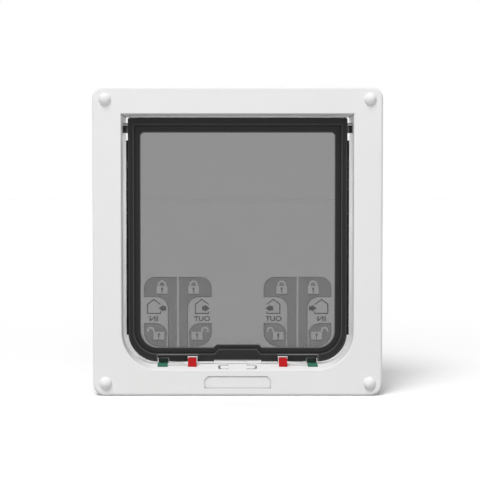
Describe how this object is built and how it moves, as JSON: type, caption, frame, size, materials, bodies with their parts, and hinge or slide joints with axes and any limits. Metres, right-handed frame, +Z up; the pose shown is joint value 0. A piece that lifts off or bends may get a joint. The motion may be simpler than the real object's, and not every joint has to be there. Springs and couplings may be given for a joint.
{
  "type": "cat flap",
  "caption": "Four-way locking cat flap for a door: telescoping white frames, clear smoke panel in a dark border swinging both ways, coloured sliding locks.",
  "frame": {"origin": "centre of the box's footprint, at the bottom edge of the flanges", "axes": "+Z up, +Y back through the door, away from the face with the screw caps, +X to the right seen from that face"},
  "size_m": [0.236, 0.074, 0.252],
  "materials": {
    "white_plastic": "smooth moulded, satin gloss",
    "dark_plastic": "fine moulded grain, satin",
    "smoke_clear": "clear smoke tint, polished",
    "steel": "drawn wire",
    "magnet": "plated, dull",
    "black_pile": "short upright pile",
    "green_plastic": "moulded, satin",
    "red_plastic": "moulded, satin"
  },
  "bodies": {
    "frame": {"front_frame": "white_plastic", "rear_frame": "white_plastic", "fixing_screws": "steel", "top_left_cap": "white_plastic", "top_right_cap": "white_plastic", "bottom_left_cap": "white_plastic", "bottom_right_cap": "white_plastic", "left_hinge_clip": "dark_plastic", "right_hinge_clip": "dark_plastic", "frame_magnet": "magnet", "magnet_retainer": "white_plastic"},
    "flap": {"flap_frame": "dark_plastic", "flap_panel": "smoke_clear", "flap_magnet": "magnet", "left_hinge_pin": "steel", "right_hinge_pin": "steel", "left_brush_strip": "black_pile", "right_brush_strip": "black_pile"},
    "left_in_slider": {"left_in_lock": "green_plastic"},
    "right_in_slider": {"right_in_lock": "green_plastic"},
    "left_out_slider": {"left_out_lock": "red_plastic"},
    "right_out_slider": {"right_out_lock": "red_plastic"}
  },
  "joints": [
    {"name": "flap_swing", "type": "hinge", "parent": "frame", "child": "flap", "pos_m": [0, -0.014, 0.2216], "axis": [1, 0, 0], "range_deg": [-85, 85]},
    {"name": "left_in_slide", "type": "slide", "parent": "frame", "child": "left_in_slider", "axis": [1, 0, 0], "range_m": [0, 0.0077]},
    {"name": "right_in_slide", "type": "slide", "parent": "frame", "child": "right_in_slider", "axis": [-1, 0, 0], "range_m": [0, 0.0077]},
    {"name": "left_out_slide", "type": "slide", "parent": "frame", "child": "left_out_slider", "axis": [-1, 0, 0], "range_m": [0, 0.0086]},
    {"name": "right_out_slide", "type": "slide", "parent": "frame", "child": "right_out_slider", "axis": [1, 0, 0], "range_m": [0, 0.0086]}
  ]
}
